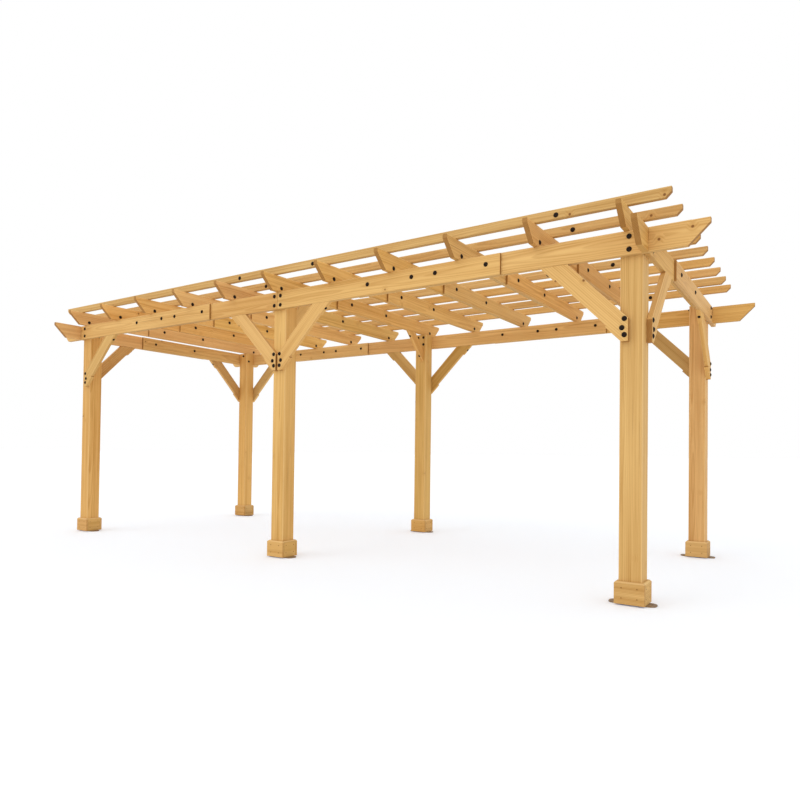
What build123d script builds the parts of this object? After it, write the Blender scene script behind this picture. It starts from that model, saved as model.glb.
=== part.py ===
from build123d import *
import os
from math import asin, cos, degrees, radians, sin, sqrt

# A six-post timber pergola. X runs along the long side, the front faces -Y, Z is up,
# and the origin lies on the ground at the middle of the footprint. Sizes in millimetres.

# Layout
bay_length = 2985.0
row_spacing = 2326.0
beam_underside = 2155.0

# Timber sections
post_width = 140.0
post_chamfer = 5.0
board_thickness = 35.0
beam_depth = 150.0
rafter_depth = 140.0
purlin_width = 36.0
purlin_depth = 65.0
edge_ease = 3.0

# Overhangs past the centres of the corner posts, and the flat left above the sloping end cuts
beam_tail = 450.0
side_tail = 390.0
rafter_tail = 290.0
purlin_tail = 247.0
tail_flat = 28.0
purlin_flat = 30.0

# Lapped joints: length of each lap, step that it leaves on the face, play between its halves,
# gap between boards that meet end to end, and play in the halved crossings at the corners
beam_lap = 1250.0
side_lap = 960.0
rafter_lap = 960.0
lap_step = 16.0
lap_play = 0.5
shoulder_gap = 2.0
crossing_play = 2.5

# Roof members; the setback is from the rafter tips in to the outer purlins
rafter_count = 11
rafter_inset = 24.0
purlin_count = 9
purlin_setback = 149.0

# Knee braces, all at 45 degrees, with a shallow relief along the lower edge; the drop is
# from the beams down to the foot of a brace
brace_width = 132.0
brace_drop = 530.0
brace_heel = 12.0
brace_toe = 55.0
brace_relief = 11.0
brace_relief_end = 140.0
short_brace_reach = 313.0
short_brace_width = 100.0

# Post feet; the joint is the gap between the boards round a foot
plate_length = 290.0
plate_width = 100.0
plate_thickness = 8.0
plate_corner = 42.0
anchor_hole = 14.0
anchor_inset = 27.0
trim_height = 138.0
trim_thickness = 21.5
trim_chamfer = 10.0
trim_joint = 0.6

# Worked out from the sizes above
beam_top = beam_underside + beam_depth
rafter_top = beam_top + rafter_depth
half_post = post_width / 2
half_board = board_thickness / 2
half_gap = shoulder_gap / 2
tongue = (board_thickness + lap_step - lap_play) / 2
row_line = row_spacing / 2
row_face = row_line + half_post
end_face = bay_length + half_post
rafter_reach = bay_length - rafter_inset
rafter_pitch = 2 * rafter_reach / (rafter_count - 1)
purlin_reach = row_line + rafter_tail - purlin_setback
purlin_pitch = 2 * purlin_reach / (purlin_count - 1)
long_edge = 2 * post_width

# The boards of a lapped beam lie at a slight angle, so that each still bears on its own post
left_skew = degrees(asin(lap_step / bay_length))
right_skew = degrees(asin(lap_step / (bay_length - half_post)))
side_skew = degrees(asin(lap_step / row_spacing))

rows = {"front": -row_line, "back": row_line}
columns = {"left": -bay_length, "middle": 0, "right": bay_length}


def wall_plane(x, y, heading):
    """Upright plane through x, y: local x runs along the heading in degrees, local y is up."""
    along = radians(heading)
    return Plane(origin=(x, y, 0), x_dir=(cos(along), sin(along), 0), z_dir=(sin(along), -cos(along), 0))


def notch_points(at, edge, middle):
    """Corners of the half-depth notch that lets a crossing board through."""
    half = half_board + crossing_play
    return [(at - half, edge), (at - half, middle), (at + half, middle), (at + half, edge)]


def board_outline(start, end, low, high, flat=tail_flat, tails=(), notch=None, notch_edge="low"):
    """Side outline of a board; the ends named in tails slope at 45 degrees below a short flat."""
    cut = high - low - flat
    points = [(start + cut, low)] if "start" in tails else [(start, low)]
    if notch is not None and notch_edge == "low":
        points += notch_points(notch, low, (low + high) / 2)
    points += [(end - cut, low), (end, high - flat)] if "end" in tails else [(end, low)]
    points.append((end, high))
    if notch is not None and notch_edge == "high":
        points += notch_points(notch, high, (low + high) / 2)[::-1]
    points.append((start, high))
    if "start" in tails:
        points.append((start, high - flat))
    return points


def lapped_board(plane, outline, lap_start, lap_end, low, high, side):
    """A board thinned along its lap; side says which face of the beam its tongue keeps to."""
    tongue_plane = plane.offset(board_thickness - tongue) if side == "outer" else plane
    return [
        (plane, outline, board_thickness),
        (tongue_plane, board_outline(lap_start, lap_end, low, high), tongue),
    ]


def brace_outline(way):
    """Knee brace beside a post; way is 1 or -1 along the plane, from the post's centre line."""
    foot, head = beam_underside - brace_drop, beam_underside
    slope = brace_width * sqrt(2)
    tip = brace_toe + head - foot
    end, relief = brace_relief_end / sqrt(2), brace_relief / sqrt(2)
    points = [
        (brace_heel, foot),
        (brace_toe, foot),
        (brace_toe + end, foot + end),
        (brace_toe + end - relief, foot + end + relief),
        (tip - end - relief, head - end + relief),
        (tip - end, head - end),
        (tip, head),
        (tip - slope, head),
        (brace_heel, foot + slope - brace_toe + brace_heel),
    ]
    return [(way * x, z) for x, z in points]


def short_brace_outline(way):
    """Small brace from the inner face of a middle post up to the middle rafter."""
    slope = short_brace_width * sqrt(2)
    reach, head = short_brace_reach, beam_top
    points = [(0, head - reach), (reach, head), (reach - slope, head), (0, head - reach + slope)]
    return [(way * y, z) for y, z in points]


def save(part, label):
    part.label = label
    export_step(part, f"parts/{label}.step")


def make_boards(label, pieces):
    """One node made of pieces, each a plane, a side outline and a thickness."""
    with BuildPart() as node:
        for plane, points, thickness in pieces:
            with BuildSketch(plane):
                with BuildLine():
                    Polyline(*points, close=True)
                make_face()
            extrude(amount=thickness)
        chamfer(node.edges().filter_by(lambda edge: edge.length > long_edge), edge_ease)
    save(node.part, label)


os.makedirs("parts", exist_ok=True)

# Posts, each on an anchor plate and boxed in at the foot by four boards, the front and back ones
# covering the ends of the side ones
hole_reach = plate_length / 2 - anchor_inset
trim_width = post_width + 2 * trim_thickness
for row, y in rows.items():
    for column, x in columns.items():
        with BuildPart() as post:
            with BuildSketch(Plane.XY.offset(plate_thickness)) as section:
                with Locations((x, y)):
                    Rectangle(post_width, post_width)
                chamfer(section.vertices(), post_chamfer)
            extrude(amount=beam_top - plate_thickness)
        save(post.part, f"post_{row}_{column}")

        with BuildPart() as plate:
            with BuildSketch():
                with Locations((x, y)):
                    RectangleRounded(plate_length, plate_width, plate_corner)
                with Locations((x - hole_reach, y), (x + hole_reach, y)):
                    Circle(anchor_hole / 2, mode=Mode.SUBTRACT)
            extrude(amount=plate_thickness)
        save(plate.part, f"anchor_plate_{row}_{column}")

        with BuildPart() as trim:
            with BuildSketch(Plane.XY.offset(plate_thickness)):
                with Locations((x, y)):
                    Rectangle(trim_width, trim_width)
                    Rectangle(post_width, post_width, mode=Mode.SUBTRACT)
            extrude(amount=trim_height)
            top = trim.faces().sort_by(Axis.Z)[-1]
            chamfer(top.outer_wire().edges(), trim_chamfer)
            with BuildSketch(Plane.XY.offset(plate_thickness)):
                with Locations((x, y)):
                    with GridLocations(post_width + trim_thickness, post_width - trim_joint, 2, 2):
                        Rectangle(trim_thickness + 2 * trim_joint, trim_joint)
            extrude(amount=trim_height, mode=Mode.SUBTRACT)
        save(trim.part, f"base_trim_{row}_{column}")

# Long beams on the outer faces of the posts: two lapped boards a bay, which meet end to end
# over the middle posts and are halved over the side beams at the corners
half_bay = bay_length / 2
half_lap = beam_lap / 2
for row, turn, names in (("front", 1, ("left", "right")), ("back", -1, ("right", "left"))):
    turned = 0 if row == "front" else 180

    # Each plane starts at the post edge that its board bears on
    plane = wall_plane(-turn * end_face, -turn * row_face, turned - left_skew)
    lap_start, lap_end = half_post + half_bay - half_lap, half_post + half_bay + half_lap
    outline = board_outline(half_post - beam_tail, lap_start, beam_underside, beam_top, tails=("start",),
                            notch=-half_board, notch_edge="high")
    boards = lapped_board(plane, outline, lap_start, lap_end - shoulder_gap, beam_underside, beam_top, "outer")
    plane = wall_plane(-turn * half_post, -turn * row_face, turned - left_skew)
    lap_start, lap_end = half_post - half_bay - half_lap, half_post - half_bay + half_lap
    outline = board_outline(lap_end, half_post - half_gap, beam_underside, beam_top)
    boards += lapped_board(plane, outline, lap_start + shoulder_gap, lap_end, beam_underside, beam_top, "inner")
    make_boards(f"{row}_beam_{names[0]}", boards)

    plane = wall_plane(0, -turn * row_face, turned - right_skew)
    lap_start, lap_end = half_bay - half_lap, half_bay + half_lap
    outline = board_outline(half_gap, lap_start, beam_underside, beam_top)
    boards = lapped_board(plane, outline, lap_start, lap_end - shoulder_gap, beam_underside, beam_top, "outer")
    plane = wall_plane(turn * (bay_length - half_post), -turn * row_face, turned - right_skew)
    lap_start, lap_end = half_post - half_bay - half_lap, half_post - half_bay + half_lap
    outline = board_outline(lap_end, half_post + beam_tail, beam_underside, beam_top, tails=("end",),
                            notch=post_width + half_board, notch_edge="high")
    boards += lapped_board(plane, outline, lap_start + shoulder_gap, lap_end, beam_underside, beam_top, "inner")
    make_boards(f"{row}_beam_{names[1]}", boards)

# Side beams on the end faces of the corner posts
half_lap = side_lap / 2
for side, turn in (("right", 1), ("left", -1)):
    heading = turn * 90 + side_skew
    plane = wall_plane(turn * end_face, turn * (half_post - row_line), heading)
    lap_start, lap_end = row_line - half_post - half_lap, row_line - half_post + half_lap
    outline = board_outline(-half_post - side_tail, lap_start, beam_underside, beam_top, tails=("start",),
                            notch=-post_width - half_board)
    boards = lapped_board(plane, outline, lap_start, lap_end - shoulder_gap, beam_underside, beam_top, "inner")
    plane = wall_plane(turn * end_face, turn * row_face, heading)
    lap_start, lap_end = -row_face - half_lap, -row_face + half_lap
    outline = board_outline(lap_end, side_tail - half_post, beam_underside, beam_top, tails=("end",),
                            notch=half_board)
    boards += lapped_board(plane, outline, lap_start + shoulder_gap, lap_end, beam_underside, beam_top, "outer")
    make_boards(f"{side}_beam", boards)

# Rafters across the beams, the back board of each a step to the right of the front board
tip = row_line + rafter_tail
half_lap = rafter_lap / 2
for index in range(rafter_count):
    x = index * rafter_pitch - rafter_reach - half_board
    plane = wall_plane(x, 0, 90)
    outline = board_outline(-tip, -half_lap, beam_top, rafter_top, tails=("start",))
    boards = lapped_board(plane, outline, -half_lap, half_lap - shoulder_gap, beam_top, rafter_top, "inner")
    plane = wall_plane(x + lap_step, 0, 90)
    outline = board_outline(half_lap, tip, beam_top, rafter_top, tails=("end",))
    boards += lapped_board(plane, outline, shoulder_gap - half_lap, half_lap, beam_top, rafter_top, "outer")
    make_boards(f"rafter_{index + 1:02d}", boards)

# Purlins across the rafters
tip = bay_length + purlin_tail
for index in range(purlin_count):
    plane = wall_plane(0, index * purlin_pitch - purlin_reach + purlin_width / 2, 0)
    outline = board_outline(-tip, tip, rafter_top, rafter_top + purlin_depth,
                            flat=purlin_flat, tails=("start", "end"))
    make_boards(f"purlin_{index + 1}", [(plane, outline, purlin_width)])

# Knee braces, one node to each post
for row, y in rows.items():
    inward = 1 if row == "front" else -1
    for column, x in columns.items():
        face = wall_plane(x, -inward * row_face, 0 if row == "front" else 180)
        braces = []
        if column != "right":
            braces.append((face, brace_outline(inward), board_thickness))
        if column != "left":
            braces.append((face, brace_outline(-inward), board_thickness))
        if column == "middle":
            step = 0 if row == "front" else lap_step
            plane = wall_plane(step - half_board, inward * (half_post - row_line), 90)
            braces.append((plane, short_brace_outline(inward), board_thickness))
        else:
            side = 1 if column == "right" else -1
            plane = wall_plane(side * end_face, y, side * 90)
            braces.append((plane, brace_outline(side * inward), board_thickness))
        make_boards(f"braces_{row}_{column}", braces)
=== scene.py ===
import math

import bmesh
import bpy
from bpy.props import FloatProperty, FloatVectorProperty, PointerProperty
from mathutils import Matrix, Vector
from mathutils.bvhtree import BVHTree


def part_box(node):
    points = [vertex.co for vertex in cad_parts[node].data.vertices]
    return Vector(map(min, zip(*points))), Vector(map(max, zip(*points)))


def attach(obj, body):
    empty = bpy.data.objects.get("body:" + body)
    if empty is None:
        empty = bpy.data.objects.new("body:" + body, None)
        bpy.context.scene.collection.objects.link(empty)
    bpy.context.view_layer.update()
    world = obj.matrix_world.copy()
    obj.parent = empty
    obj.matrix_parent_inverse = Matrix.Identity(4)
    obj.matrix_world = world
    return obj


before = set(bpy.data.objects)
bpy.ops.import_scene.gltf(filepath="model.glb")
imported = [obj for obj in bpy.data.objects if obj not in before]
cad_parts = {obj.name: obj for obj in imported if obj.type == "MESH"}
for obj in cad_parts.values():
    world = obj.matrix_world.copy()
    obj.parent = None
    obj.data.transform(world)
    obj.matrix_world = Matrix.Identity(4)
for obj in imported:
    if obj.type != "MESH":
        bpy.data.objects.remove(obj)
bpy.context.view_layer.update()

bl_info = {
    "name": "Timber pergola",
    "version": (1, 0, 0),
    "blender": (4, 5, 0),
    "location": "View3D > Sidebar > Pergola",
    "description": "Sawn timber, bolts, screws and a plain stage for a six-post pergola",
    "category": "Object",
}

BODY = "root"
ROWS = {"front": -1, "back": 1}
COLUMNS = {"left": -1, "middle": 0, "right": 1}
SIDES = {"left": -1, "right": 1}
HALF_ROOT = math.sqrt(0.5)
# Distance in metres at which a knot no longer shows
FAR = 1.0

# Changes of each noise in a metre: along, across and through a board
WOBBLE_STRETCH = (0.9, 4.0, 4.0)
STREAK_STRETCH = (0.8, 40.0, 40.0)
FIBRE_STRETCH = (6.0, 420.0, 420.0)
PATCH_STRETCH = (0.6, 5.0, 5.0)
CHECK_STRETCH = (1.6, 150.0, 150.0)
CHECK_AREA_STRETCH = (0.8, 6.0, 6.0)

# Greatest shift of the figure along a board, by its first and second lucky number
FIRST_SHIFT = 97.0
SECOND_SHIFT = 31.0

# Knots in a metre, and the share of them that is left out
KNOT_SCALE = 4.6
KNOT_MISSING = 0.45

# Heart of the growth rings: place beside and behind the middle of a board, lean along it
HEART_SPREAD = 0.18
HEART_BEHIND = 0.035
HEART_BEHIND_SPREAD = 0.09
HEART_LEAN = 0.03
# Wobble of the growth rings, and how far they swell round a knot
RING_WOBBLE = 0.045
RING_BULGE = 0.010

# Mix of early and late wood: its level, and the part of each kind of figure in it
LATE_LEVEL = 0.20
LATE_PART = 0.34
STREAK_PART = 1.35
FIBRE_PART = 0.45
PATCH_PART = 0.95

# Differences between boards in hue and in richness of colour
HUE_SPREAD = 0.010
RICH_SPREAD = 0.09

# Strength of each mark over the plain wood
HALO_STRENGTH = 0.28
KNOT_STRENGTH = 0.85
CHECK_STRENGTH = 0.42
CUT_RING_STRENGTH = 0.55
CUT_LEVEL = 0.25
END_STRENGTH = 0.80
# Strength of the painted highlight along eased edges
ARRIS_HIGHLIGHT_STRENGTH = 0.45


def tint(code):
    """Linear colour with alpha from a six-digit screen colour."""
    channels = [int(code[i:i + 2], 16) / 255 for i in (0, 2, 4)]
    linear = [c / 12.92 if c <= 0.04045 else ((c + 0.055) / 1.055) ** 2.4 for c in channels]
    return (*linear, 1.0)


def colour(name, description, code):
    return FloatVectorProperty(name=name, description=description, default=tint(code),
                               subtype="COLOR", size=4, min=0, max=1)


def length(name, description, default):
    return FloatProperty(name=name, description=description, default=default, unit="LENGTH", precision=4)


def share(name, description, default):
    return FloatProperty(name=name, description=description, default=default, subtype="FACTOR", min=0, max=1)


class TimberLook(bpy.types.PropertyGroup):
    """Colours and figure of the sawn softwood"""

    early_wood: colour("Early wood", "Pale wood of the growth rings", "E4B874")
    late_wood: colour("Late wood", "Dark lines of the growth rings", "BC8844")
    end_grain: colour("End grain", "Wood across a cut end", "93632F")
    knot: colour("Knot", "Middle of a knot", "74431A")
    # Pale colour of the painted highlight laid along eased edges
    arris_highlight: colour("Arris highlight", "Pale wood along an eased edge", "F2CE92")
    joint: colour("Joint", "Dark line where two boards meet", "5A3D20")
    ring_width: length("Ring width", "Distance between growth rings", 0.0085)
    knot_size: length("Knot size", "Radius of a knot", 0.0095)
    tone_spread: share("Tone spread", "Difference in tone between boards", 0.14)


class FrameSizes(bpy.types.PropertyGroup):
    """Joints of the frame that the looks follow"""

    beam_lap: length("Beam lap", "Length of the laps in the long beams", 1.25)
    side_lap: length("Side lap", "Length of the laps in the side beams", 0.96)
    rafter_lap: length("Rafter lap", "Length of the laps in the rafters", 0.96)


class FastenerSizes(bpy.types.PropertyGroup):
    """Bolts and screws"""

    metal: colour("Bolt metal", "Black finish of the bolts", "1F1107")
    plate_metal: colour("Plate metal", "Brown paint of the anchor plates", "8C7253")
    screw_metal: colour("Screw metal", "Bronze finish of the trim screws", "94652F")
    washer_radius: length("Washer radius", "Radius of the flange under a bolt head", 0.0165)
    dome_radius: length("Dome radius", "Radius of the domed head", 0.0132)
    head_height: length("Head height", "Height of a bolt head above the wood", 0.0085)
    nut_radius: length("Nut radius", "Radius across the corners of a nut", 0.0105)
    screw_radius: length("Screw radius", "Radius of a trim screw head", 0.0045)
    lap_bolt_far: length("Outer lap bolt", "Outer beam bolts from the middle of a bay", 0.515)
    lap_bolt_near: length("Inner lap bolt", "Inner beam bolts from the middle of a bay", 0.103)
    lap_bolt_short: length("Short lap bolt", "Rafter and side beam bolts from the middle of a lap", 0.297)
    post_bolt_apart: length("Post bolts apart", "Half the distance between bolts at a middle post", 0.036)
    post_bolt_inset: length("Post bolt inset", "Long beam bolts inward of a corner post's centre", 0.008)
    side_bolt_inset: length("Side bolt inset", "Side beam bolts inward of a corner post's centre", 0.027)
    post_bolt_rise: length("Post bolt rise", "Post bolts above and below the middle of the beam", 0.040)
    seat_bolt_out: length("Seat bolt", "Rafter seat bolts outside the row of posts", 0.075)
    purlin_bolt_near: length("Inner purlin bolt", "Purlin bolts from the middle", 0.433)
    purlin_bolt_far: length("Outer purlin bolt", "Outer purlin bolts from the middle", 2.528)


class StageSetup(bpy.types.PropertyGroup):
    """Camera, floor and light"""

    camera_place: FloatVectorProperty(name="Camera", description="Place of the camera",
                                      default=(4.0252, -5.3478, 0.9196), subtype="TRANSLATION")
    camera_heading: FloatProperty(name="Heading", description="Turn of the camera to the left of +Y",
                                  default=math.radians(33.738), subtype="ANGLE")
    camera_rise: FloatProperty(name="Rise", description="Upward look of the camera",
                               default=math.radians(1.0), subtype="ANGLE")
    camera_roll: FloatProperty(name="Roll", description="Lean of the camera",
                               default=math.radians(0.7), subtype="ANGLE")
    focal_pixels: FloatProperty(name="Focal length", description="Focal length in pixels of the picture",
                                default=649.74)
    centre_line: FloatProperty(name="Centre line", description="Pixel row of the optical axis",
                               default=441.552)
    picture_pixels: FloatProperty(name="Picture size", description="Side of the square picture in pixels",
                                  default=800.0)
    floor: colour("Floor", "Plain pale floor", "FAFAF8")
    glow: colour("Glow colour", "Cool light that evens out the warm light thrown on the floor", "97C7FF")
    floor_glow: FloatProperty(name="Floor glow", description="Light added to the floor as the camera sees it",
                              default=0.14)
    sky_light: FloatProperty(name="Sky light", description="Strength of the even light", default=0.98)
    key_light: FloatProperty(name="Key light", description="Strength of the soft lamp from the front left",
                             default=0.42)


class Wiring:
    """Places shader nodes in a tree; a value may be a socket or a plain number."""

    def __init__(self, tree):
        self.tree = tree

    def join(self, value, socket):
        if isinstance(value, bpy.types.NodeSocket):
            self.tree.links.new(value, socket)
        else:
            socket.default_value = value

    def put(self, kind, inputs=None, **settings):
        node = self.tree.nodes.new(kind)
        for name, value in settings.items():
            setattr(node, name, value)
        for key, value in (inputs or {}).items():
            self.join(value, node.inputs[key])
        return node

    def math(self, operation, *values):
        node = self.put("ShaderNodeMath", operation=operation)
        for value, socket in zip(values, node.inputs):
            self.join(value, socket)
        return node.outputs[0]

    def add(self, a, b):
        return self.math("ADD", a, b)

    def take(self, a, b):
        return self.math("SUBTRACT", a, b)

    def times(self, a, b):
        return self.math("MULTIPLY", a, b)

    def sum_of(self, start, *parts):
        """start, plus each value times its weight."""
        total = start
        for value, weight in parts:
            total = self.add(total, self.times(value, weight))
        return total

    def spread(self, luck, width):
        """A lucky number from 0 to 1, as a value about 0 that spans the width."""
        return self.times(self.take(luck, 0.5), width)

    def above(self, a, b):
        return self.math("GREATER_THAN", a, b)

    def size(self, a):
        return self.math("ABSOLUTE", a)

    def choose(self, switch, off, on):
        """off where the switch is 0 and on where it is 1."""
        node = self.put("ShaderNodeMix", {"Factor": switch}, data_type="FLOAT")
        self.join(off, node.inputs[2])
        self.join(on, node.inputs[3])
        return node.outputs[0]

    def blend(self, amount, first, second, mode="MIX"):
        node = self.put("ShaderNodeMix", {"Factor": amount}, data_type="RGBA", blend_type=mode)
        self.join(first, node.inputs[6])
        self.join(second, node.inputs[7])
        return node.outputs[2]

    def ease(self, value, low, high, start=0.0, end=1.0):
        """Smooth step from start at low to end at high."""
        return self.put("ShaderNodeMapRange",
                        {"Value": value, "From Min": low, "From Max": high, "To Min": start, "To Max": end},
                        interpolation_type="SMOOTHSTEP").outputs[0]

    def vector(self, x, y, z):
        return self.put("ShaderNodeCombineXYZ", {0: x, 1: y, 2: z}).outputs[0]

    def split(self, vector):
        return self.put("ShaderNodeSeparateXYZ", {0: vector}).outputs[:3]

    def vector_math(self, operation, *values):
        node = self.put("ShaderNodeVectorMath", operation=operation)
        for value, socket in zip(values, node.inputs):
            self.join(value, socket)
        return node.outputs["Value"] if operation == "LENGTH" else node.outputs[0]

    def noise(self, place, stretch, detail, output="Fac"):
        stretched = self.vector_math("MULTIPLY", place, stretch)
        inputs = {"Vector": stretched, "Scale": 1.0, "Detail": detail}
        return self.put("ShaderNodeTexNoise", inputs).outputs[output]


def timber_group(look):
    """Growth rings, fibres, knots, checks and cut ends of a board, from the place along and across it."""
    tree = bpy.data.node_groups.new("sawn_timber", "ShaderNodeTree")
    names = ("Along", "Wide", "Deep", "Board", "End", "Joint", "Arris highlight", "Knot", "Tone")
    for name in names:
        tree.interface.new_socket(name, in_out="INPUT", socket_type="NodeSocketFloat")
    tree.interface.items_tree["Knot"].default_value = FAR
    tree.interface.items_tree["Tone"].default_value = 1.0
    tree.interface.new_socket("Color", in_out="OUTPUT", socket_type="NodeSocketColor")
    tree.interface.new_socket("Roughness", in_out="OUTPUT", socket_type="NodeSocketFloat")
    tree.interface.new_socket("Height", in_out="OUTPUT", socket_type="NodeSocketFloat")
    w = Wiring(tree)
    given = w.put("NodeGroupInput").outputs
    along, wide, deep, board, end, joint, arris_highlight, placed, shade = (given[name] for name in names)

    luck = w.put("ShaderNodeTexWhiteNoise", {"W": board}, noise_dimensions="1D").outputs["Color"]
    first, second, third = w.split(luck)
    shifted = w.add(along, w.add(w.times(first, FIRST_SHIFT), w.times(second, SECOND_SHIFT)))
    place = w.vector(shifted, wide, deep)

    # Knots, and the rings that flow round them
    knot_field = w.put("ShaderNodeTexVoronoi", {"Vector": place, "Scale": KNOT_SCALE})
    kept = w.above(w.split(knot_field.outputs["Color"])[0], KNOT_MISSING)
    strewn = w.choose(kept, FAR, w.times(knot_field.outputs["Distance"], 1 / KNOT_SCALE))
    knot_distance = w.math("MINIMUM", strewn, placed)
    knot_mask = w.ease(knot_distance, look.knot_size * 0.55, look.knot_size * 1.25, 1.0, 0.0)
    halo = w.ease(knot_distance, look.knot_size, look.knot_size * 4.5, 1.0, 0.0)

    # Growth rings round a heart behind the middle of the board, which leans a little
    wobble = w.vector_math("SUBTRACT", w.noise(place, WOBBLE_STRETCH, 2.0, "Color"), (0.5, 0.5, 0.5))
    wobble = w.vector_math("MULTIPLY", wobble, (0.0, RING_WOBBLE, RING_WOBBLE))
    lean = w.times(along, w.spread(third, HEART_LEAN))
    beside = w.add(w.spread(first, HEART_SPREAD), lean)
    behind = w.take(-HEART_BEHIND, w.times(second, HEART_BEHIND_SPREAD))
    heart = w.vector(0.0, beside, behind)
    across = w.vector_math("SUBTRACT", w.vector_math("ADD", w.vector(0.0, wide, deep), wobble), heart)
    radius = w.add(w.vector_math("LENGTH", across), w.times(halo, RING_BULGE))
    phase = w.math("FRACT", w.math("DIVIDE", radius, look.ring_width))
    late = w.times(w.ease(phase, 0.25, 0.88), w.ease(phase, 0.90, 1.0, 1.0, 0.0))

    # Streaks, fibres and patches over the rings
    streak = w.take(w.noise(place, STREAK_STRETCH, 3.0), 0.5)
    fibre = w.take(w.noise(place, FIBRE_STRETCH, 2.0), 0.5)
    patch = w.take(w.noise(place, PATCH_STRETCH, 2.0), 0.5)
    figure = w.sum_of(LATE_LEVEL, (late, LATE_PART), (streak, STREAK_PART),
                      (fibre, FIBRE_PART), (patch, PATCH_PART))
    amount = w.put("ShaderNodeClamp", {"Value": figure}).outputs[0]
    wood = w.blend(amount, look.early_wood, look.late_wood)

    # Tone, hue and richness of the board; the tone given to the group also carries painted shade and painted
    # light for some kinds of piece
    shift = {
        "Color": wood,
        "Hue": w.add(0.5, w.spread(second, HUE_SPREAD)),
        "Saturation": w.add(1.0, w.spread(third, RICH_SPREAD)),
        "Value": w.add(shade, w.spread(first, look.tone_spread)),
    }
    wood = w.put("ShaderNodeHueSaturation", shift).outputs[0]
    wood = w.blend(w.times(halo, HALO_STRENGTH), wood, look.late_wood)
    wood = w.blend(w.times(knot_mask, KNOT_STRENGTH), wood, look.knot)

    # Fine drying checks along the grain
    check = w.ease(w.noise(place, CHECK_STRETCH, 1.0), 0.705, 0.745)
    check = w.times(check, w.ease(w.noise(place, CHECK_AREA_STRETCH, 1.0), 0.50, 0.60))
    wood = w.blend(w.times(check, CHECK_STRENGTH), wood, look.knot)

    # Cut ends, painted highlight on eased edges, and joints
    cut = w.blend(w.times(late, CUT_RING_STRENGTH), look.end_grain, look.knot)
    cut = w.blend(w.add(CUT_LEVEL, fibre), cut, look.late_wood)
    wood = w.blend(w.times(end, END_STRENGTH), wood, cut)
    # Painted highlight along the eased edges
    wood = w.blend(w.times(arris_highlight, ARRIS_HIGHLIGHT_STRENGTH), wood, look.arris_highlight)
    wood = w.blend(joint, wood, look.joint)

    rough = w.sum_of(0.68, (late, -0.08), (fibre, 0.25))
    height = w.sum_of(w.times(late, 0.35), (fibre, 0.8), (check, -1.5), (joint, -2.0), (knot_mask, 0.5))
    w.put("NodeGroupOutput", {"Color": wood, "Roughness": rough, "Height": height})
    return tree


def timber_material(name, layout):
    """A timber material; layout works out the place on the board from the place in the frame."""
    look = bpy.context.scene.pergola_timber
    group = bpy.data.node_groups.get("sawn_timber") or timber_group(look)
    material = bpy.data.materials.new(name)
    material.use_nodes = True
    material.node_tree.nodes.clear()
    material.diffuse_color = look.early_wood
    w = Wiring(material.node_tree)
    place = w.put("ShaderNodeTexCoord").outputs
    at, facing = w.split(place["Object"]), w.split(place["Normal"])
    timber = w.put("ShaderNodeGroup", node_tree=group)
    for key, value in layout(w, at, facing).items():
        w.join(value, timber.inputs[key])
    bump = w.put("ShaderNodeBump", {"Height": timber.outputs["Height"], "Strength": 0.45, "Distance": 0.0006})
    surface = w.put("ShaderNodeBsdfPrincipled", {
        "Base Color": timber.outputs["Color"],
        "Roughness": timber.outputs["Roughness"],
        "Normal": bump.outputs[0],
        "Specular IOR Level": 0.16,
    })
    w.put("ShaderNodeOutputMaterial", {"Surface": surface.outputs[0]})
    return material


def dress(names, material):
    """Gives CAD nodes their material in one slot."""
    for name in names:
        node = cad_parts[name]
        node.data.materials.clear()
        node.data.materials.append(material)


def named(*starts):
    """Names of the CAD nodes with one of these starts, in order."""
    return sorted(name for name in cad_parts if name.startswith(starts))


def middle(name):
    """Middle of a CAD node's box."""
    low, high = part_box(name)
    return (low + high) / 2


# Places that the frame gives
BAY = middle("post_front_right").x
ROW = middle("post_back_middle").y
POST_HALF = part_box("post_front_middle")[1].x
BEAM_MIDDLE = middle("left_beam").z
BEAM_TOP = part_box("left_beam")[1].z
BEAM_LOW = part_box("left_beam")[0].z
RAFTERS = named("rafter_")
RAFTER_START = middle(RAFTERS[0]).x
RAFTER_PITCH = (middle(RAFTERS[-1]).x - RAFTER_START) / (len(RAFTERS) - 1)
RAFTER_MIDDLE = middle(RAFTERS[0]).z
PURLINS = named("purlin_")
PURLIN_REACH = middle(PURLINS[-1]).y
PURLIN_PITCH = 2 * PURLIN_REACH / (len(PURLINS) - 1)
PURLIN_MIDDLE = middle(PURLINS[0]).z
# Thickness of the boards, the step at a lap, and the middle of a beam from its row of posts
BOARD = 0.035
LAP_STEP = 0.016
LAP_PLANE = POST_HALF + BOARD / 2
# Starting distance of the lines that seat the fasteners, outside the frame
FAR_OUT = 2 * BAY

# Knots that stand out, each by its place along and up the face; on the purlins a metre up is
# added for each purlin before
FRONT_BEAM_KNOTS = ((3.152, 2.221), (3.339, 2.264))
PURLIN_KNOTS = ((2.620, 2.458), (3.193, 2.464), (3.045, 3.470))
KNOTTED_PURLINS = 2

# Board numbers are counted from these; the tone and figure of a board are drawn from its number
POST_BOARDS = 2784.0
LONG_BEAM_BOARDS = 39069.0
SIDE_BEAM_BOARDS = 44.0
RAFTER_BOARDS = 4654.0
PURLIN_BOARDS = 5871.0
BRACE_BOARDS = 3387.0
TRIM_BOARDS = 240.0

# Tone of each kind of piece; the rafter tone is painted light that lifts the shade under the roof, the inner
# brace tone is painted shade on faces that look into the frame, and the underside tone is painted shade below
# boards
BEAM_TONE = 1.0
RAFTER_PAINTED_LIGHT_TONE = 1.06
PURLIN_TONE = 0.915
BRACE_TONE = 0.98
BRACE_INNER_PAINTED_SHADE = 0.81
TRIM_TONE = 0.91
UNDERSIDE_PAINTED_SHADE = 0.82

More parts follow.
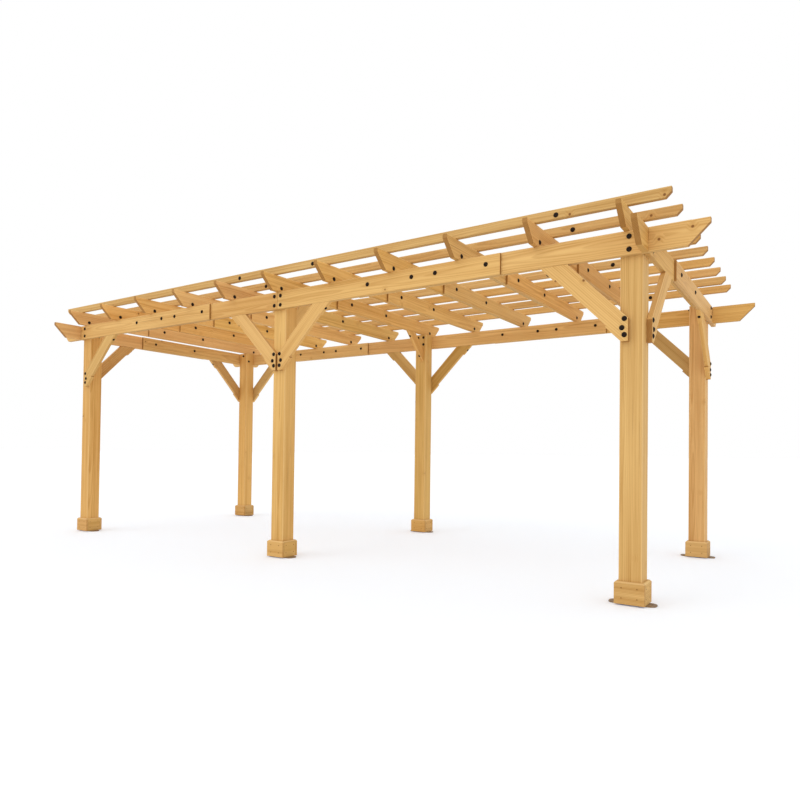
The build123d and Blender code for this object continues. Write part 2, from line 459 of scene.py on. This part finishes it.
# A face looks one way where that part of its normal is over this
SQUARE_ON = 0.5
# An edge is eased where the product of two parts is over this; a face looks down from this part on
SLANTING = 0.3
# Least sum of the outward and upward parts of a normal for the cut end of a brace
BRACE_END = 0.6

# Base trims: heart of the rings this far below them, for even grain; corner joints; board ends
TRIM_HEART_BELOW = 0.37
SEAM_INNER = 0.0006
SEAM_OUTER = 0.0014
SEAM_STRENGTH = 0.5
TRIM_END_STRENGTH = 0.3


def eased(w, one, other):
    """1 on the slanting face of an eased edge, between faces that look along one and along the other; a
    painted highlight goes there.
    """
    return w.above(w.size(w.times(one, other)), SLANTING)


def highlighted_upper_edge(w, sideways, up):
    """1 on the eased upper edges of a board on edge, where a painted highlight goes; the lower ones stay
    plain.
    """
    return w.above(w.times(w.size(sideways), up), SLANTING)


def cut_end(w, lengthwise):
    """1 on the cut ends of a board, from how far a face looks along the grain."""
    return w.above(w.size(lengthwise), SQUARE_ON)


def shaded_below(w, up, tone):
    """Tone of a board, with painted shade that makes its underside and lower edges darker than its faces."""
    return w.choose(w.math("LESS_THAN", up, -SLANTING), tone, tone * UNDERSIDE_PAINTED_SHADE)


def nearest_knot(w, along, up, places):
    """Distance to the nearest of some knots, each at a place along and up the face."""
    nearest = FAR
    for knot_along, knot_up in places:
        apart = w.vector(w.take(along, knot_along), w.take(up, knot_up), 0.0)
        nearest = w.math("MINIMUM", nearest, w.vector_math("LENGTH", apart))
    return nearest


def post_layout(w, at, facing):
    """Upright grain, one board number for each post."""
    x, y, z = at
    column = w.math("ROUND", w.math("DIVIDE", x, BAY))
    row = w.math("SIGN", y)
    return {
        "Along": z,
        "Wide": w.take(x, w.times(column, BAY)),
        "Deep": w.take(y, w.times(row, ROW)),
        "Board": w.add(column, w.add(w.times(row, 3.0), POST_BOARDS)),
        "End": cut_end(w, facing[2]),
        "Arris highlight": eased(w, facing[0], facing[1]),
    }


def long_beam_layout(w, at, facing):
    """Four boards in each row, counted along the beam as each face shows them."""
    lap = bpy.context.scene.pergola_sizes.beam_lap
    near, far = BAY / 2 - lap / 2, BAY / 2 + lap / 2
    x, y, z = at
    row = w.math("SIGN", y)
    run = w.times(x, w.times(row, -1.0))
    outer = w.above(w.size(y), ROW + LAP_PLANE)
    first = w.above(run, w.choose(outer, -far, -near))
    second = w.above(run, 0.0)
    third = w.above(run, w.choose(outer, near, far))
    count = w.add(first, w.add(second, third))
    return {
        "Along": x,
        "Wide": w.take(z, BEAM_MIDDLE),
        "Deep": w.take(y, w.times(row, ROW + LAP_PLANE)),
        "Board": w.add(count, w.add(w.times(row, 4.0), LONG_BEAM_BOARDS)),
        "Knot": w.add(nearest_knot(w, x, z, FRONT_BEAM_KNOTS), w.above(row, 0.0)),
        "Tone": shaded_below(w, facing[2], BEAM_TONE),
        "End": cut_end(w, facing[0]),
        "Arris highlight": highlighted_upper_edge(w, facing[1], facing[2]),
    }


def side_beam_layout(w, at, facing):
    """Two boards on each side, told apart at the lap as each face shows them."""
    half_lap = bpy.context.scene.pergola_sizes.side_lap / 2
    x, y, z = at
    side = w.math("SIGN", x)
    outer = w.above(w.size(x), BAY + LAP_PLANE)
    back = w.above(w.times(y, side), w.choose(outer, half_lap, -half_lap))
    return {
        "Along": y,
        "Wide": w.take(z, BEAM_MIDDLE),
        "Deep": w.take(x, w.times(side, BAY + LAP_PLANE)),
        "Board": w.add(back, w.add(w.times(side, 2.0), SIDE_BEAM_BOARDS)),
        "Tone": shaded_below(w, facing[2], BEAM_TONE),
        "End": cut_end(w, facing[1]),
        "Arris highlight": highlighted_upper_edge(w, facing[0], facing[2]),
    }


def rafter_layout(w, at, facing):
    """Two boards in each rafter, told apart at the lap as each face shows them."""
    half_lap = bpy.context.scene.pergola_sizes.rafter_lap / 2
    x, y, z = at
    count = w.math("ROUND", w.math("DIVIDE", w.take(x, RAFTER_START), RAFTER_PITCH))
    deep = w.take(x, w.add(w.times(count, RAFTER_PITCH), RAFTER_START))
    back = w.above(y, w.choose(w.above(deep, 0.0), half_lap, -half_lap))
    return {
        "Along": y,
        "Wide": w.take(z, RAFTER_MIDDLE),
        "Deep": deep,
        "Board": w.add(back, w.add(w.times(count, 2.0), RAFTER_BOARDS)),
        # Rafters are lifted in tone as painted light against the shade under the roof, with painted shade
        # below
        "Tone": shaded_below(w, facing[2], RAFTER_PAINTED_LIGHT_TONE),
        "End": cut_end(w, facing[1]),
        "Arris highlight": highlighted_upper_edge(w, facing[0], facing[2]),
    }


def purlin_layout(w, at, facing):
    """One board in each purlin, with the knots that stand out on the first two."""
    x, y, z = at
    count = w.math("ROUND", w.math("DIVIDE", w.add(y, PURLIN_REACH), PURLIN_PITCH))
    knot = nearest_knot(w, x, w.add(z, count), PURLIN_KNOTS)
    return {
        "Along": x,
        "Wide": w.take(z, PURLIN_MIDDLE),
        "Deep": w.take(y, w.take(w.times(count, PURLIN_PITCH), PURLIN_REACH)),
        "Board": w.add(count, PURLIN_BOARDS),
        "Tone": shaded_below(w, facing[2], PURLIN_TONE),
        "Knot": w.add(knot, w.above(count, KNOTTED_PURLINS - 0.5)),
        "End": cut_end(w, facing[0]),
        "Arris highlight": highlighted_upper_edge(w, facing[1], facing[2]),
    }


def brace_layout(w, at, facing):
    """Grain at 45 degrees, away from the nearest post, along the row or across it."""
    x, y, z = at
    column = w.math("ROUND", w.math("DIVIDE", x, BAY))
    row = w.math("SIGN", y)
    from_post = w.take(x, w.times(column, BAY))
    side = w.math("SIGN", from_post)
    cross = w.math("LESS_THAN", w.size(y), ROW + POST_HALF / 2)
    run = w.choose(cross, w.size(from_post), w.take(ROW, w.size(y)))
    facing_run = w.choose(cross, w.times(facing[0], side), w.times(w.times(facing[1], row), -1.0))
    deep = w.choose(cross, y, x)
    facing_deep = w.choose(cross, facing[1], facing[0])
    facing_wide = w.times(w.take(facing[2], facing_run), HALF_ROOT)
    outward = w.choose(cross, row, w.math("SIGN", x))
    inner = w.above(w.times(w.times(facing_deep, outward), -1.0), SQUARE_ON)
    count = w.add(column, w.add(w.times(row, 3.0), w.add(w.times(cross, 10.0), w.times(side, 20.0))))
    return {
        "Along": w.times(w.add(run, z), HALF_ROOT),
        "Wide": w.times(w.take(z, run), HALF_ROOT),
        "Deep": deep,
        "Board": w.add(count, BRACE_BOARDS),
        "End": w.above(w.size(w.add(facing_run, facing[2])), BRACE_END),
        "Arris highlight": eased(w, facing_deep, facing_wide),
        # Faces that look into the frame get painted shade
        "Tone": w.choose(inner, BRACE_TONE, BRACE_INNER_PAINTED_SHADE),
    }


def trim_layout(w, at, facing):
    """Four boards round each post: the front and back ones cover the ends of the others."""
    x, y, z = at
    column = w.math("ROUND", w.math("DIVIDE", x, BAY))
    row = w.math("SIGN", y)
    from_x, from_y = w.take(x, w.times(column, BAY)), w.take(y, w.times(row, ROW))
    cover = w.above(w.size(from_y), POST_HALF)
    sideways = w.take(1.0, cover)
    from_seam = w.size(w.take(w.size(from_y), POST_HALF))
    seam = w.ease(from_seam, SEAM_INNER, SEAM_OUTER, SEAM_STRENGTH, 0.0)
    seam = w.times(seam, w.above(w.size(from_x), POST_HALF))
    ends = w.times(cover, w.times(cut_end(w, facing[0]), TRIM_END_STRENGTH))
    number = w.choose(sideways, w.math("SIGN", from_y), w.add(w.math("SIGN", from_x), 3.0))
    count = w.add(number, w.add(w.times(column, 8.0), w.times(row, 24.0)))
    return {
        "Along": w.choose(sideways, x, y),
        "Wide": w.add(z, TRIM_HEART_BELOW),
        "Deep": w.choose(sideways, from_y, from_x),
        "Board": w.add(count, TRIM_BOARDS),
        "End": ends,
        "Joint": seam,
        "Tone": TRIM_TONE,
        # Painted highlight on the upward eased edges of the trim boards
        "Arris highlight": w.above(w.times(facing[2], w.add(w.size(facing[0]), w.size(facing[1]))), SLANTING),
    }


# Metal: changes of the mottling and the grime in a metre, rubbed spots and grime against the base
MOTTLE_STRETCH = (140.0, 140.0, 140.0)
GRIME_STRETCH = (22.0, 22.0, 22.0)
RUBBED_GAIN = 2.2
RUBBED_LIFT = 0.02
GRIME_GAIN = 0.6
GRIME_STRENGTH = 0.5


def metal_material(name, base, roughness, wear):
    """Painted or blackened finish with fine mottling, rubbed spots and grime."""
    material = bpy.data.materials.new(name)
    material.use_nodes = True
    material.node_tree.nodes.clear()
    material.diffuse_color = base
    w = Wiring(material.node_tree)
    place = w.put("ShaderNodeTexCoord").outputs["Object"]
    mottle = w.noise(place, MOTTLE_STRETCH, 4.0)
    grime = w.noise(place, GRIME_STRETCH, 3.0)
    rubbed = tuple(min(1.0, c * RUBBED_GAIN + RUBBED_LIFT) for c in base[:3]) + (1.0,)
    paint = w.blend(w.times(w.ease(mottle, 0.52, 0.75), wear), base, rubbed)
    dark = tuple(c * GRIME_GAIN for c in base[:3]) + (1.0,)
    paint = w.blend(w.times(w.ease(grime, 0.45, 0.7), GRIME_STRENGTH), paint, dark)
    rough = w.add(roughness, w.times(w.take(mottle, 0.5), 0.35))
    bump = w.put("ShaderNodeBump", {"Height": mottle, "Strength": 0.25, "Distance": 0.0004})
    surface = w.put("ShaderNodeBsdfPrincipled", {
        "Base Color": paint, "Roughness": rough, "Normal": bump.outputs[0],
        "Metallic": 0.0, "Specular IOR Level": 0.14,
    })
    w.put("ShaderNodeOutputMaterial", {"Surface": surface.outputs[0]})
    return material


def bolt_metal():
    """The finish that all the bolts and nuts share."""
    name = "black_bolt_metal"
    base = tuple(bpy.context.scene.pergola_fasteners.metal)
    return bpy.data.materials.get(name) or metal_material(name, base, roughness=0.42, wear=0.35)


def solid_tree(name):
    """Search tree over the faces of a CAD node."""
    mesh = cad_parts[name].data
    return BVHTree.FromPolygons([v.co for v in mesh.vertices], [p.vertices for p in mesh.polygons])


TREES = {}


def seat(name, start, direction):
    """Matrix at the point where a line from start first meets a CAD node, with Z out of its face."""
    if name not in TREES:
        TREES[name] = solid_tree(name)
    place, normal, _, _ = TREES[name].ray_cast(Vector(start), Vector(direction).normalized())
    if place is None:
        raise RuntimeError(f"no face of {name} lies in line with {tuple(start)}")
    if normal.dot(Vector(direction)) > 0:
        normal = -normal
    return Matrix.Translation(place) @ normal.to_track_quat("Z", "Y").to_matrix().to_4x4()


# Points round a head or a washer, a nut and the end of a bolt
ROUND_STEPS = 24
NUT_STEPS = 6
SHANK_STEPS = 16
# Reach of a bolt head or a washer into the wood
SINK = 0.001
WASHER_HEIGHT = 0.0022
NUT_HEIGHT = 0.0085
SHARP_ANGLE = math.radians(32)


def ring_of(mesh, radius, height, steps):
    """A level ring of points."""
    angles = [2 * math.pi * i / steps for i in range(steps)]
    return [mesh.verts.new((radius * math.cos(a), radius * math.sin(a), height)) for a in angles]


def stack(mesh, loops):
    """Faces between rings with as many points each, in order, and a cap on the last and the first."""
    for lower, upper in zip(loops, loops[1:]):
        count = len(lower)
        for i in range(count):
            j = (i + 1) % count
            mesh.faces.new([lower[i], lower[j], upper[j], upper[i]])
    mesh.faces.new(loops[-1])
    mesh.faces.new(loops[0][::-1])


def turned(mesh, profile, steps):
    """A closed shape through rings, each given by its radius and height."""
    stack(mesh, [ring_of(mesh, radius, height, steps) for radius, height in profile])


def bolt_head(mesh):
    """Round flange with a low dome and a round socket, standing on the wood."""
    sizes = bpy.context.scene.pergola_fasteners
    flange = sizes.head_height * 0.32
    dome, rise = sizes.dome_radius, sizes.head_height - flange
    turned(mesh, [
        (sizes.washer_radius, -SINK), (sizes.washer_radius, flange * 0.6),
        (sizes.washer_radius * 0.965, flange), (dome, flange),
        (dome * 0.97, flange + rise * 0.30), (dome * 0.84, flange + rise * 0.66),
        (dome * 0.62, flange + rise * 0.90), (dome * 0.40, flange + rise),
        (dome * 0.36, flange + rise * 0.45),
    ], ROUND_STEPS)


def bolt_nut(mesh):
    """Washer, six-sided nut with eased corners and the end of the bolt."""
    sizes = bpy.context.scene.pergola_fasteners
    thick, top = WASHER_HEIGHT, WASHER_HEIGHT + NUT_HEIGHT
    washer, nut = sizes.washer_radius, sizes.nut_radius
    shank = nut * 0.52
    turned(mesh, [
        (washer * 0.9, -SINK), (washer * 0.9, thick * 0.7), (washer * 0.87, thick), (nut * 0.8, thick),
    ], ROUND_STEPS)
    turned(mesh, [
        (nut * 0.96, thick), (nut, thick + 0.0008), (nut, top - 0.0012), (nut * 0.88, top), (shank, top),
    ], NUT_STEPS)
    turned(mesh, [
        (shank * 0.98, top - 0.001), (shank * 0.98, top + 0.0045), (shank * 0.80, top + 0.0060),
    ], SHANK_STEPS)


def screw_head(mesh):
    """Flat head set almost flush, with a star-shaped recess."""
    sizes = bpy.context.scene.pergola_fasteners
    radius, top = sizes.screw_radius, 0.0009
    profile = [(radius, -0.0008), (radius, 0.0004), (radius * 0.9, top)]
    loops = [ring_of(mesh, wide, height, ROUND_STEPS) for wide, height in profile]
    for height in (top, -0.0006):
        points = []
        for i in range(ROUND_STEPS):
            angle = 2 * math.pi * i / ROUND_STEPS
            reach = radius * (0.42 + 0.08 * math.cos(6 * angle))
            points.append(mesh.verts.new((reach * math.cos(angle), reach * math.sin(angle), height)))
        loops.append(points)
    stack(mesh, loops)


def fastener_piece(name, shape, places, metal, scale=1.0):
    """One piece of like fasteners, each set on the wood at its place."""
    single = bmesh.new()
    shape(single)
    bmesh.ops.recalc_face_normals(single, faces=single.faces)
    pattern = bpy.data.meshes.new(name + "_pattern")
    single.to_mesh(pattern)
    single.free()
    joined = bmesh.new()
    for place in places:
        start = len(joined.verts)
        joined.from_mesh(pattern)
        joined.verts.ensure_lookup_table()
        bmesh.ops.transform(joined, matrix=place @ Matrix.Scale(scale, 4), verts=joined.verts[start:])
    mesh = bpy.data.meshes.new(name)
    joined.to_mesh(mesh)
    joined.free()
    bpy.data.meshes.remove(pattern)
    for face in mesh.polygons:
        face.use_smooth = True
    mesh.set_sharp_from_angle(angle=SHARP_ANGLE)
    piece = bpy.data.objects.new(name, mesh)
    bpy.context.scene.collection.objects.link(piece)
    mesh.materials.append(metal)
    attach(piece, BODY)


def side_name(x):
    """Name of the half of the frame that holds a place along it."""
    return "left" if x < 0 else "right"


# Beam bolts above the middle of a beam, at the laps and at the corner posts on the sides
LAP_BOLT_RISE = 0.010
SIDE_BOLT_RISE = 0.006
# Rafter bolts: behind and above the middle of a rafter at the laps, below it at the seats
RAFTER_BOLT_BACK = 0.035
RAFTER_BOLT_RISE = 0.012
SEAT_BOLT_DROP = 0.035
# Purlin bolts: to the right of the middle for the inner ones, below the middle for all
PURLIN_BOLT_RIGHT = 0.015
PURLIN_BOLT_DROP = 0.006
# Brace bolts: places away from the post and up at the feet, tips away from the post and below a beam
FOOT_BOLTS = ((0.034, 1.765), (0.049, 1.709), (0.034, 1.665))
TIP_RUN = 0.536
TIP_DROP = 0.050
TIP_SCALE = 0.75
# Small braces: reach from the post at the level of the beam tops, bolts below that level
SMALL_REACH = 0.313
SMALL_DROPS = (0.257, 0.055)
# Starting distance, out and down, of the lines that seat the bolts under a brace
BELOW = 0.2
# Trim screws from the middle of a board, and above the ground
SCREW_ACROSS = 0.047
SCREW_RISES = (0.045, 0.108)


class PERGOLA_OT_posts(bpy.types.Operator):
    """Dress the posts in sawn timber with upright grain"""

    bl_idname = "pergola.posts"
    bl_label = "Posts"

    def execute(self, context):
        dress(named("post_"), timber_material("post_timber", post_layout))
        return {"FINISHED"}


class PERGOLA_OT_base_trims(bpy.types.Operator):
    """Dress the boards round the feet of the posts, with their corner joints"""

    bl_idname = "pergola.base_trims"
    bl_label = "Base trims"

    def execute(self, context):
        dress(named("base_trim_"), timber_material("trim_timber", trim_layout))
        return {"FINISHED"}


class PERGOLA_OT_anchor_plates(bpy.types.Operator):
    """Dress the anchor plates in brown paint"""

    bl_idname = "pergola.anchor_plates"
    bl_label = "Anchor plates"

    def execute(self, context):
        base = tuple(context.scene.pergola_fasteners.plate_metal)
        paint = metal_material("plate_paint", base, roughness=0.5, wear=0.4)
        dress(named("anchor_plate_"), paint)
        return {"FINISHED"}


class PERGOLA_OT_beams(bpy.types.Operator):
    """Dress the long beams and the side beams, board by board"""

    bl_idname = "pergola.beams"
    bl_label = "Beams"

    def execute(self, context):
        long_timber = timber_material("long_beam_timber", long_beam_layout)
        dress(named("front_beam_", "back_beam_"), long_timber)
        side_timber = timber_material("side_beam_timber", side_beam_layout)
        dress(("left_beam", "right_beam"), side_timber)
        return {"FINISHED"}


class PERGOLA_OT_rafters(bpy.types.Operator):
    """Dress the rafters, two boards each"""

    bl_idname = "pergola.rafters"
    bl_label = "Rafters"

    def execute(self, context):
        dress(RAFTERS, timber_material("rafter_timber", rafter_layout))
        return {"FINISHED"}


class PERGOLA_OT_purlins(bpy.types.Operator):
    """Dress the purlins"""

    bl_idname = "pergola.purlins"
    bl_label = "Purlins"

    def execute(self, context):
        dress(PURLINS, timber_material("purlin_timber", purlin_layout))
        return {"FINISHED"}


class PERGOLA_OT_braces(bpy.types.Operator):
    """Dress the knee braces with grain along their slope"""

    bl_idname = "pergola.braces"
    bl_label = "Knee braces"

    def execute(self, context):
        dress(named("braces_"), timber_material("brace_timber", brace_layout))
        return {"FINISHED"}


class PERGOLA_OT_beam_bolts(bpy.types.Operator):
    """Bolt the laps of the beams and the beams to the posts"""

    bl_idname = "pergola.beam_bolts"
    bl_label = "Beam bolts"

    def execute(self, context):
        sizes = context.scene.pergola_fasteners
        heads, nuts = [], []
        offsets = (-sizes.lap_bolt_far, -sizes.lap_bolt_near, sizes.lap_bolt_near, sizes.lap_bolt_far)
        rises = (-sizes.post_bolt_rise, sizes.post_bolt_rise)
        for row, out in ROWS.items():
            for x in [side * BAY / 2 + offset for side in (-1, 1) for offset in offsets]:
                beam, z = f"{row}_beam_{side_name(x)}", BEAM_MIDDLE + LAP_BOLT_RISE
                heads.append(seat(beam, (x, out * FAR_OUT, z), (0, -out, 0)))
                nuts.append(seat(beam, (x, 0, z), (0, out, 0)))
            corner = BAY - sizes.post_bolt_inset
            apart = sizes.post_bolt_apart
            for column, x in (("left", -corner), ("middle", -apart), ("middle", apart), ("right", corner)):
                for rise in rises:
                    z = BEAM_MIDDLE + rise
                    heads.append(seat(f"{row}_beam_{side_name(x)}", (x, out * FAR_OUT, z), (0, -out, 0)))
                    if column == "middle" or (column == "left" and rise > 0):
                        nuts.append(seat(f"post_{row}_{column}", (x, 0, z), (0, out, 0)))
        for side, out in SIDES.items():
            for y in (-sizes.lap_bolt_short, sizes.lap_bolt_short):
                z = BEAM_MIDDLE + LAP_BOLT_RISE
                heads.append(seat(f"{side}_beam", (out * FAR_OUT, y, z), (-out, 0, 0)))
                nuts.append(seat(f"{side}_beam", (0, y, z), (out, 0, 0)))
            for row, way in ROWS.items():
                y = way * (ROW - sizes.side_bolt_inset)
                for rise in rises:
                    z = BEAM_MIDDLE + rise + SIDE_BOLT_RISE
                    heads.append(seat(f"{side}_beam", (out * FAR_OUT, y, z), (-out, 0, 0)))
                    if rise * out > 0:
                        nuts.append(seat(f"post_{row}_{side}", (0, y, z), (out, 0, 0)))
        fastener_piece("beam_bolts", bolt_head, heads, bolt_metal())
        fastener_piece("beam_nuts", bolt_nut, nuts, bolt_metal())
        return {"FINISHED"}


class PERGOLA_OT_roof_bolts(bpy.types.Operator):
    """Bolt the laps of the rafters, their seats on the beams, and the purlins"""

    bl_idname = "pergola.roof_bolts"
    bl_label = "Rafter and purlin bolts"

    def execute(self, context):
        sizes = context.scene.pergola_fasteners
        heads, nuts = [], []
        for name in RAFTERS:
            for y in (-sizes.lap_bolt_short + RAFTER_BOLT_BACK, sizes.lap_bolt_short + RAFTER_BOLT_BACK):
                z = RAFTER_MIDDLE + RAFTER_BOLT_RISE
                heads.append(seat(name, (FAR_OUT, y, z), (-1, 0, 0)))
                nuts.append(seat(name, (-FAR_OUT, y, z), (1, 0, 0)))
            # The last rafter has no bolts at its seats, since none shows there
            for way in (-1, 1) if name != RAFTERS[-1] else ():
                y = way * (ROW + sizes.seat_bolt_out)
                heads.append(seat(name, (FAR_OUT, y, RAFTER_MIDDLE - SEAT_BOLT_DROP), (-1, 0, 0)))
        fastener_piece("rafter_bolts", bolt_head, heads, bolt_metal())
        fastener_piece("rafter_nuts", bolt_nut, nuts, bolt_metal())
        heads, nuts = [], []
        for name in PURLINS:
            for x in (-sizes.purlin_bolt_far, PURLIN_BOLT_RIGHT - sizes.purlin_bolt_near,
                      PURLIN_BOLT_RIGHT + sizes.purlin_bolt_near, sizes.purlin_bolt_far):
                z = PURLIN_MIDDLE - PURLIN_BOLT_DROP
                heads.append(seat(name, (x, -FAR_OUT, z), (0, 1, 0)))
                nuts.append(seat(name, (x, FAR_OUT, z), (0, -1, 0)))
        fastener_piece("purlin_bolts", bolt_head, heads, bolt_metal())
        fastener_piece("purlin_nuts", bolt_nut, nuts, bolt_metal())
        return {"FINISHED"}


class PERGOLA_OT_brace_bolts(bpy.types.Operator):
    """Bolt the feet of the knee braces to the posts, and their heads to the beams from below"""

    bl_idname = "pergola.brace_bolts"
    bl_label = "Brace bolts"

    def execute(self, context):
        feet, tips = [], []
        for row, out in ROWS.items():
            for column, place in COLUMNS.items():
                name = f"braces_{row}_{column}"
                for way in [end for end in (-1, 1) if end != place]:
                    for run, z in FOOT_BOLTS:
                        feet.append(seat(name, (place * BAY + way * run, out * FAR_OUT, z), (0, -out, 0)))
                    x, y = place * BAY + way * (TIP_RUN + BELOW), out * (ROW + LAP_PLANE)
                    tips.append(seat(name, (x, y, BEAM_LOW - TIP_DROP - BELOW), (-way, 0, 1)))
                if place:
                    for run, z in FOOT_BOLTS:
                        feet.append(seat(name, (place * FAR_OUT, out * (ROW - run), z), (-place, 0, 0)))
                    x, y = place * (BAY + LAP_PLANE), out * (ROW - TIP_RUN - BELOW)
                    tips.append(seat(name, (x, y, BEAM_LOW - TIP_DROP - BELOW), (0, out, 1)))
                else:
                    board = 0.0 if row == "front" else LAP_STEP
                    for drop in SMALL_DROPS:
                        y = out * (ROW - POST_HALF - SMALL_REACH + drop)
                        start = (board, y - out * BELOW, BEAM_TOP - drop - BELOW)
                        tips.append(seat(name, start, (0, out, 1)))
        fastener_piece("brace_bolts", bolt_head, feet, bolt_metal())
        fastener_piece("brace_tip_bolts", bolt_head, tips, bolt_metal(), scale=TIP_SCALE)
        return {"FINISHED"}


class PERGOLA_OT_trim_screws(bpy.types.Operator):
    """Screw the base trims to the posts, four screws to a board"""

    bl_idname = "pergola.trim_screws"
    bl_label = "Trim screws"

    def execute(self, context):
        ways = [Vector(way) for way in ((1, 0, 0), (-1, 0, 0), (0, 1, 0), (0, -1, 0))]
        places = []
        for row, out in ROWS.items():
            for column, place in COLUMNS.items():
                name = f"base_trim_{row}_{column}"
                centre = Vector((place * BAY, out * ROW, 0))
                for across in (-SCREW_ACROSS, SCREW_ACROSS):
                    for z in SCREW_RISES:
                        for way in ways:
                            side = Vector((-way.y, way.x, 0))
                            start = centre + way + side * across + Vector((0, 0, z))
                            places.append(seat(name, start, -way))
        base = tuple(context.scene.pergola_fasteners.screw_metal)
        bronze = metal_material("bronze_screw_metal", base, roughness=0.45, wear=0.4)
        fastener_piece("trim_screws", screw_head, places, bronze)
        return {"FINISHED"}


# Half the side of the floor, the lamp's spread and place, and the camera's sensor and range
FLOOR_REACH = 400
LAMP_SPREAD = math.radians(50)
LAMP_PLACE = (-3.5, -7.5, 5.5)
SENSOR_WIDTH = 36.0
NEAREST = 0.05
FARTHEST = 1000.0
LEVEL = math.radians(90)


class PERGOLA_OT_stage(bpy.types.Operator):
    """Set the floor, the light and the camera"""

    bl_idname = "pergola.stage"
    bl_label = "Stage"

    def execute(self, context):
        setup = context.scene.pergola_stage
        self.floor(setup)
        self.light(setup)
        self.camera(setup)
        context.scene.view_settings.view_transform = "Standard"
        return {"FINISHED"}

    def floor(self, setup):
        mesh = bpy.data.meshes.new("studio_floor")
        joined = bmesh.new()
        bmesh.ops.create_grid(joined, x_segments=1, y_segments=1, size=FLOOR_REACH)
        joined.to_mesh(mesh)
        joined.free()
        floor = bpy.data.objects.new("studio_floor", mesh)
        bpy.context.scene.collection.objects.link(floor)
        material = bpy.data.materials.new("studio_floor")
        material.use_nodes = True
        material.node_tree.nodes.clear()
        w = Wiring(material.node_tree)
        seen = w.put("ShaderNodeLightPath").outputs["Is Camera Ray"]
        surface = w.put("ShaderNodeBsdfPrincipled", {
            "Base Color": setup.floor, "Roughness": 0.9, "Specular IOR Level": 0.1,
            "Emission Color": setup.glow, "Emission Strength": w.times(seen, setup.floor_glow),
        })
        w.put("ShaderNodeOutputMaterial", {"Surface": surface.outputs[0]})
        mesh.materials.append(material)

    def light(self, setup):
        world = bpy.data.worlds.new("studio_light")
        bpy.context.scene.world = world
        world.use_nodes = True
        world.node_tree.nodes.clear()
        w = Wiring(world.node_tree)
        path = w.put("ShaderNodeLightPath").outputs
        seen = w.math("MAXIMUM", path["Is Camera Ray"],
                      w.math("MAXIMUM", path["Is Glossy Ray"], path["Is Transmission Ray"]))
        strength = w.choose(seen, setup.sky_light, 1.0)
        sky = w.put("ShaderNodeBackground", {"Color": (1.0, 1.0, 1.0, 1.0), "Strength": strength})
        w.put("ShaderNodeOutputWorld", {"Surface": sky.outputs[0]})
        lamp = bpy.data.lights.new("soft_key", "SUN")
        lamp.angle, lamp.energy = LAMP_SPREAD, setup.key_light
        key = bpy.data.objects.new("soft_key", lamp)
        key.location = LAMP_PLACE
        key.rotation_mode = "QUATERNION"
        key.rotation_quaternion = (-key.location).to_track_quat("-Z", "Y")
        bpy.context.scene.collection.objects.link(key)

    def camera(self, setup):
        lens = bpy.data.cameras.new("picture_camera")
        lens.sensor_fit, lens.sensor_width = "HORIZONTAL", SENSOR_WIDTH
        lens.lens = setup.focal_pixels / setup.picture_pixels * lens.sensor_width
        lens.shift_y = (setup.centre_line - setup.picture_pixels / 2) / setup.picture_pixels
        lens.clip_start, lens.clip_end = NEAREST, FARTHEST
        camera = bpy.data.objects.new("picture_camera", lens)
        bpy.context.scene.collection.objects.link(camera)
        turn = (Matrix.Rotation(setup.camera_heading, 4, "Z")
                @ Matrix.Rotation(LEVEL + setup.camera_rise, 4, "X"))
        camera.matrix_world = (Matrix.Translation(setup.camera_place) @ turn
                               @ Matrix.Rotation(setup.camera_roll, 4, "Z"))
        bpy.context.scene.camera = camera


class PERGOLA_PT_panel(bpy.types.Panel):
    """Lists the sizes, the colours and the steps"""

    bl_idname = "PERGOLA_PT_panel"
    bl_label = "Pergola"
    bl_space_type = "VIEW_3D"
    bl_region_type = "UI"
    bl_category = "Pergola"

    def draw(self, context):
        for name in SETTINGS:
            group = getattr(context.scene, name)
            box = self.layout.box()
            for key in group.__annotations__:
                box.prop(group, key)
        for operator in STEPS:
            self.layout.operator(operator.bl_idname)


SETTINGS = {
    "pergola_timber": TimberLook,
    "pergola_sizes": FrameSizes,
    "pergola_fasteners": FastenerSizes,
    "pergola_stage": StageSetup,
}
STEPS = (
    PERGOLA_OT_posts, PERGOLA_OT_base_trims, PERGOLA_OT_anchor_plates, PERGOLA_OT_beams, PERGOLA_OT_rafters,
    PERGOLA_OT_purlins, PERGOLA_OT_braces, PERGOLA_OT_beam_bolts, PERGOLA_OT_roof_bolts,
    PERGOLA_OT_brace_bolts, PERGOLA_OT_trim_screws, PERGOLA_OT_stage,
)


def register():
    for kind in (*SETTINGS.values(), *STEPS, PERGOLA_PT_panel):
        bpy.utils.register_class(kind)
    for name, kind in SETTINGS.items():
        setattr(bpy.types.Scene, name, PointerProperty(type=kind))


def unregister():
    for name in SETTINGS:
        delattr(bpy.types.Scene, name)
    for kind in (PERGOLA_PT_panel, *reversed(STEPS), *reversed(SETTINGS.values())):
        bpy.utils.unregister_class(kind)


def main():
    register()
    bpy.ops.pergola.posts()
    bpy.ops.pergola.base_trims()
    bpy.ops.pergola.anchor_plates()
    bpy.ops.pergola.beams()
    bpy.ops.pergola.rafters()
    bpy.ops.pergola.purlins()
    bpy.ops.pergola.braces()
    bpy.ops.pergola.beam_bolts()
    bpy.ops.pergola.roof_bolts()
    bpy.ops.pergola.brace_bolts()
    bpy.ops.pergola.trim_screws()
    bpy.ops.pergola.stage()


if __name__ == "__main__":
    main()
